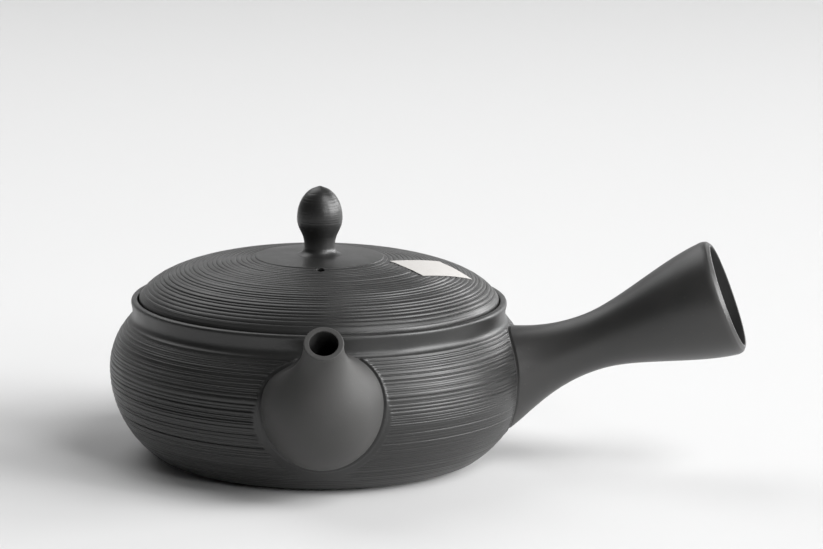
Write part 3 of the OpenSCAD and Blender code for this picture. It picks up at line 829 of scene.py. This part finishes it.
strainerLook = {**clay, "dark": "#2c2c2b", "light": "#383735", "rough": 0.6, "bump": 0.8}
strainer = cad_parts["strainer"]
strainer.data.materials.clear()
strainer.data.materials.append(stoneware("black stoneware, inside", strainerLook))
print("strainer dressed")


# Studio, in metres: a sweep of paper with a painted pool of light, paler round the object and darker
# farther out, soft lamps at the right and a scrim behind at the left

studio = {
    # the paper is painted paler round the object and darker farther out, a painted pool of light
    "paper": "#e2e2e2", "farPaperPaintedShade": "#c6c6c6", "lightPoolFrom": 0.15, "lightPoolTo": 1.2,
    "paperRough": 0.95, "paperSheen": 0.1,
    "halfWide": 12.0, "front": -12.0, "bend": 2.2, "bendR": 0.5, "bendRows": 24, "high": 1.9,
    "worldColour": "#f6f7f8", "worldStrength": 0.06,
    "lamps": {  # azimuth from +X, power in watts
        "softbox": {"azimuth": -22, "elevation": 24, "far": 6.0, "wide": 2.2, "high": 3.4, "power": 316.0},
        "sidePanel": {"azimuth": 6, "elevation": 18, "far": 6.0, "wide": 2.2, "high": 2.6, "power": 190.0},
        "highKey": {"azimuth": -38, "elevation": 54, "far": 6.0, "wide": 3.4, "high": 2.2, "power": 120.0},
        "backPanel": {"azimuth": 36, "elevation": 18, "far": 3.2, "wide": 1.2, "high": 1.2, "power": 30.0},
        "rootFill": {"azimuth": -57, "elevation": 20, "far": 6.0, "wide": 1.1, "high": 1.5, "power": 66.0},
        "scrim": {"azimuth": 124, "elevation": 52, "far": 2.0, "wide": 1.5, "high": 1.4, "power": 13.0},
    },
    "aim": (0, 0, 0.03),
}


def makeSweep():
    bend = studio["bend"]
    radius = studio["bendR"]
    line = joined(
        np.array([(studio["front"], 0), (bend, 0)]),
        arc((bend, radius), radius, radius, -90, 0, studio["bendRows"]),
        np.array([(bend + radius, radius), (bend + radius, studio["high"])]),
    )
    half = studio["halfWide"]
    points = [(x, y, z) for y, z in line for x in (-half, half)]
    faces = [(2 * i, 2 * i + 1, 2 * i + 3, 2 * i + 2) for i in range(len(line) - 1)]
    sweep = meshPiece("paperSweep", points, faces)
    material, tree, shader = newMaterial("matt backdrop paper, painted pool of light")  # palest round the object
    place = addNode(tree, "TexCoord").outputs["Object"]
    # painted pool of light: the paper's colour darkens with distance from the object
    away = addNode(tree, "VectorMath", {0: place}, operation="LENGTH")
    paintedLightPool = addNode(tree, "MapRange", {
        "Value": away.outputs["Value"], "From Min": studio["lightPoolFrom"], "From Max": studio["lightPoolTo"]
    })
    tone = addNode(tree, "Mix", {
        0: paintedLightPool.outputs[0], 6: hexColour(studio["paper"]), 7: hexColour(studio["farPaperPaintedShade"])
    }, data_type="RGBA")
    tree.links.new(tone.outputs[2], shader.inputs["Base Color"])
    shader.inputs["Roughness"].default_value = studio["paperRough"]
    shader.inputs["Specular IOR Level"].default_value = studio["paperSheen"]
    sweep.data.materials.append(material)


def makeLights():
    for name, lamp in studio["lamps"].items():
        light = bpy.data.lights.new(name, "AREA")
        light.shape = "RECTANGLE"
        light.size = lamp["wide"]
        light.size_y = lamp["high"]
        light.energy = lamp["power"]
        holder = bpy.data.objects.new(name, light)
        azimuth = math.radians(lamp["azimuth"])
        elevation = math.radians(lamp["elevation"])
        level = lamp["far"] * math.cos(elevation)
        holder.location = (
            level * math.cos(azimuth), level * math.sin(azimuth), lamp["far"] * math.sin(elevation)
        )
        way = Vector(studio["aim"]) - holder.location
        holder.rotation_euler = way.to_track_quat("-Z", "Y").to_euler()
        bpy.context.scene.collection.objects.link(holder)
    world = bpy.data.worlds.new("studioLight")
    world.use_nodes = True
    shade = world.node_tree.nodes["Background"]
    shade.inputs["Color"].default_value = hexColour(studio["worldColour"])
    shade.inputs["Strength"].default_value = studio["worldStrength"]
    bpy.context.scene.world = world


makeSweep()
makeLights()
print("studio made")


# Camera at the photo's place

view = {
    "frameWide": 823, "frameHigh": 549, "focal": 3600.0,  # in the photo's pixels
    "distance": 1075.4,
    "elevation": 11.44, "front": -90.0, "azimuth": -1.0, "roll": 0.36,
    "aimHigh": 48.0, "aimPixel": (319.27, 296.9), "sensor": 36.0, "clipFar": 20.0,
}


def makeCamera():
    elevation = math.radians(view["elevation"])
    azimuth = math.radians(view["front"] + view["azimuth"])
    aim = Vector((0, 0, view["aimHigh"]))
    level = math.cos(elevation)
    away = Vector((level * math.cos(azimuth), level * math.sin(azimuth), math.sin(elevation)))
    offX = view["aimPixel"][0] - view["frameWide"] / 2
    offY = view["frameHigh"] / 2 - view["aimPixel"][1]
    ray = Vector((offX, offY, -view["focal"])).normalized()
    swing = Vector((0, 0, -1)).rotation_difference(ray)
    facing = (-away).to_track_quat("-Z", "Y")
    roll = Matrix.Rotation(math.radians(view["roll"]), 3, "Z").to_quaternion()
    data = bpy.data.cameras.new("photoCamera")
    data.sensor_width = view["sensor"]
    data.lens = view["sensor"] * view["focal"] / view["frameWide"]
    data.clip_end = view["clipFar"]  # metres
    camera = bpy.data.objects.new("photoCamera", data)
    camera.location = (aim + away * view["distance"]) * mm
    camera.rotation_mode = "QUATERNION"
    camera.rotation_quaternion = facing @ roll @ swing.inverted()
    bpy.context.scene.collection.objects.link(camera)
    bpy.context.scene.camera = camera


makeCamera()
bpy.context.scene.view_settings.view_transform = "Standard"
print("camera placed")
